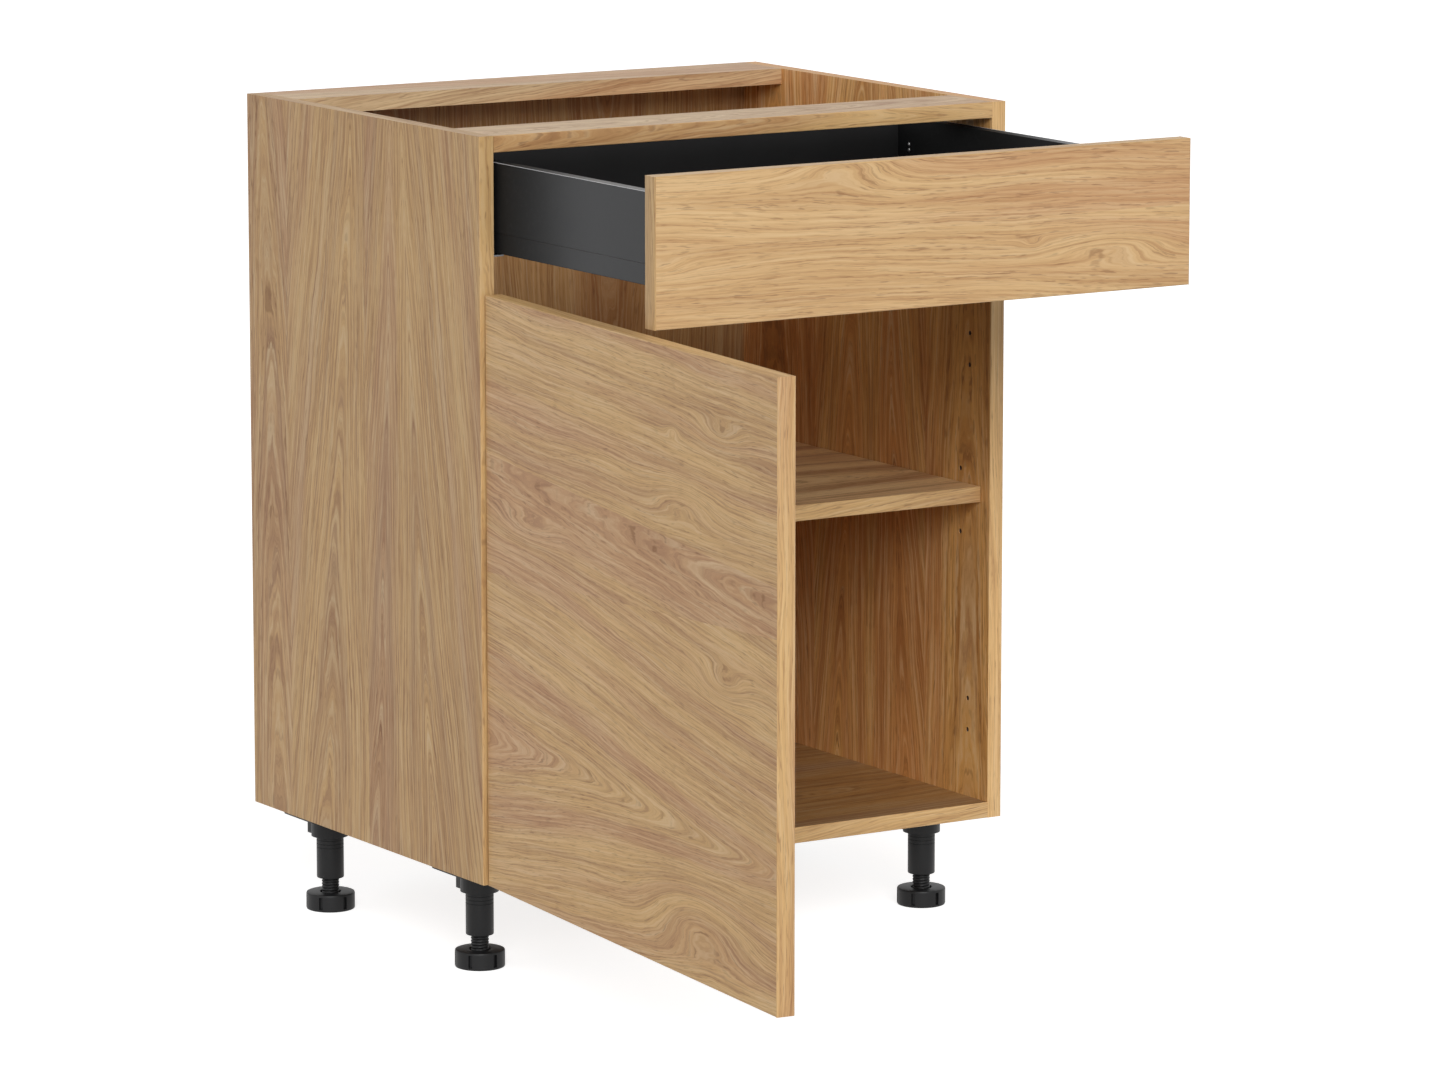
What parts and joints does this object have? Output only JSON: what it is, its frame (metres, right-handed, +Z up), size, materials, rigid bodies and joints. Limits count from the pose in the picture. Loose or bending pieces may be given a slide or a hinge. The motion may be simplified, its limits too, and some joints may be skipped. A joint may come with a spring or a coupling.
{
  "type": "kitchen base cabinet",
  "caption": "Kitchen base cabinet with a metal-sided drawer over one side-hung door on concealed hinges, an inner shelf and height-adjustable screw feet.",
  "frame": {"origin": "middle of the carcass's top rear edge, where the underside of the worktop meets the wall; cabinets are set out from these two planes because the feet are screws with no fixed height", "axes": "+Z up, +Y towards the wall, +X to the right as seen from the front"},
  "size_m": [0.6482, 1.0583, 0.82],
  "materials": {
    "oak_panel": "light natural oak decor, upright grain, satin",
    "oak_board": "light natural oak decor, grain across the cabinet, satin",
    "oak_front": "light natural oak decor, grain across the cabinet, satin",
    "oak_edge": "light natural oak edge band, satin",
    "beech_dowel": "plain beech",
    "zinc_alloy": "die-cast, matt",
    "nickel_steel": "nickel plated, satin",
    "zinc_steel": "zinc plated",
    "screw_steel": "zinc plated",
    "anthracite_steel": "anthracite powder coat, fine matt",
    "anthracite_board": "anthracite melamine, matt",
    "black_plastic": "black moulded plastic",
    "clear_rubber": "translucent soft bumper"
  },
  "bodies": {
    "carcass": {"side_panel_left": "oak_panel", "side_panel_right": "oak_panel", "bottom_panel": "oak_board", "top_rail_front": "oak_board", "top_rail_rear": "oak_board", "back_panel": "oak_panel", "carcass_edge_bands": "oak_edge", "carcass_dowels": "beech_dowel", "cam_discs": "zinc_alloy", "cam_bolts": "nickel_steel", "shelf": "oak_board", "shelf_edge_band": "oak_edge", "shelf_pins": "nickel_steel", "hinge_arms": "nickel_steel", "hinge_plates": "zinc_alloy", "hinge_plate_screws": "screw_steel", "hinge_arm_pins": "nickel_steel", "hinge_arm_screws": "screw_steel", "runner_cabinet_left": "zinc_steel", "runner_cabinet_right": "zinc_steel", "runner_screws": "screw_steel", "leg_screws": "screw_steel", "leg_socket_front_left": "black_plastic", "leg_socket_front_right": "black_plastic", "leg_socket_rear_left": "black_plastic", "leg_socket_rear_right": "black_plastic", "leg_tube_front_left": "black_plastic", "leg_tube_front_right": "black_plastic", "leg_tube_rear_left": "black_plastic", "leg_tube_rear_right": "black_plastic"},
    "hinge_links": {"hinge_links": "nickel_steel"},
    "door": {"door_panel": "oak_front", "door_edge_bands": "oak_edge", "door_bumpers": "clear_rubber", "hinge_cups": "nickel_steel", "hinge_cup_screws": "screw_steel", "hinge_cup_pins": "nickel_steel"},
    "runner_middles": {"runner_middle_left": "zinc_steel", "runner_middle_right": "zinc_steel"},
    "drawer": {"drawer_front": "oak_front", "drawer_front_edge_bands": "oak_edge", "drawer_bumpers": "clear_rubber", "drawer_side_left": "anthracite_steel", "drawer_side_right": "anthracite_steel", "runner_drawer_left": "zinc_steel", "runner_drawer_right": "zinc_steel", "drawer_bottom": "anthracite_board", "drawer_back": "anthracite_board", "drawer_front_brackets": "black_plastic", "drawer_back_brackets": "anthracite_steel", "drawer_front_screws": "screw_steel", "drawer_back_screws": "screw_steel"},
    "foot_front_left": {"foot_front_left": "black_plastic"},
    "foot_front_right": {"foot_front_right": "black_plastic"},
    "foot_rear_left": {"foot_rear_left": "black_plastic"},
    "foot_rear_right": {"foot_rear_right": "black_plastic"}
  },
  "joints": [
    {"name": "door_swing", "type": "hinge", "parent": "hinge_links", "child": "door", "pos_m": [-0.28613, -0.47207, -0.435], "axis": [0, 0, 1], "range_deg": [0, 104.2]},
    {"name": "hinge_link_swing", "type": "hinge", "parent": "carcass", "child": "hinge_links", "pos_m": [-0.276, -0.448, -0.435], "axis": [0, 0, 1], "range_deg": [-9.2, 0]},
    {"name": "drawer_slide", "type": "slide", "parent": "carcass", "child": "drawer", "axis": [0, -1, 0], "range_m": [-0.2915, 0.1445]},
    {"name": "runner_middle_slide", "type": "slide", "parent": "carcass", "child": "runner_middles", "axis": [0, -1, 0], "range_m": [-0.14575, 0.07225]},
    {"name": "foot_height_front_left", "type": "slide", "parent": "carcass", "child": "foot_front_left", "axis": [0, 0, -1], "range_m": [-0.008, 0.02]},
    {"name": "foot_height_front_right", "type": "slide", "parent": "carcass", "child": "foot_front_right", "axis": [0, 0, -1], "range_m": [-0.008, 0.02]},
    {"name": "foot_height_rear_left", "type": "slide", "parent": "carcass", "child": "foot_rear_left", "axis": [0, 0, -1], "range_m": [-0.008, 0.02]},
    {"name": "foot_height_rear_right", "type": "slide", "parent": "carcass", "child": "foot_rear_right", "axis": [0, 0, -1], "range_m": [-0.008, 0.02]}
  ],
  "couplings": [
    {"joint": "hinge_link_swing", "follows": "door_swing", "ratio": -0.088292},
    {"joint": "runner_middle_slide", "follows": "drawer_slide", "ratio": 0.5}
  ]
}
